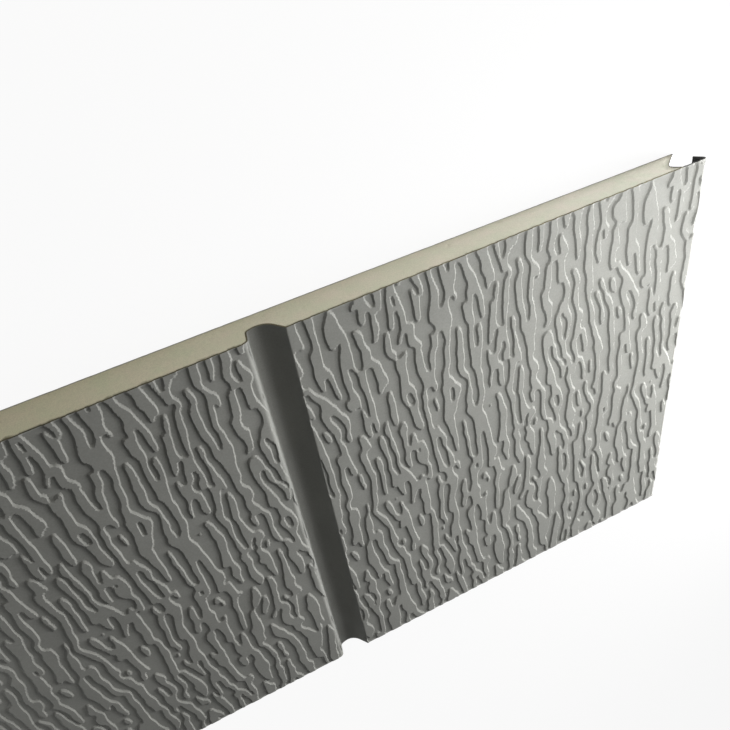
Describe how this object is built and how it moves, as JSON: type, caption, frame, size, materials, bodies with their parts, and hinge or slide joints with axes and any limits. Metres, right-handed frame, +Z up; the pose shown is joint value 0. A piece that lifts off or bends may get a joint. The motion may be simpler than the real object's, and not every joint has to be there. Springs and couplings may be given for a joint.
{
  "type": "insulated facade board",
  "caption": "Short length of steel-faced rigid foam wall board with an embossed face, a groove between planks, a hook edge with a slot, and a tongue edge.",
  "frame": {"origin": "middle of the back, on the surface that the board lies on", "axes": "+X across the board towards its hook edge, +Y along the board, +Z up out of the embossed face"},
  "size_m": [0.3902, 0.2, 0.015],
  "materials": {
    "coated_steel": "satin",
    "rigid_foam": "matte",
    "foil": "satin"
  },
  "bodies": {
    "root": {"face_sheet": "coated_steel", "foam_core": "rigid_foam", "foil_backing": "foil"}
  },
  "joints": []
}
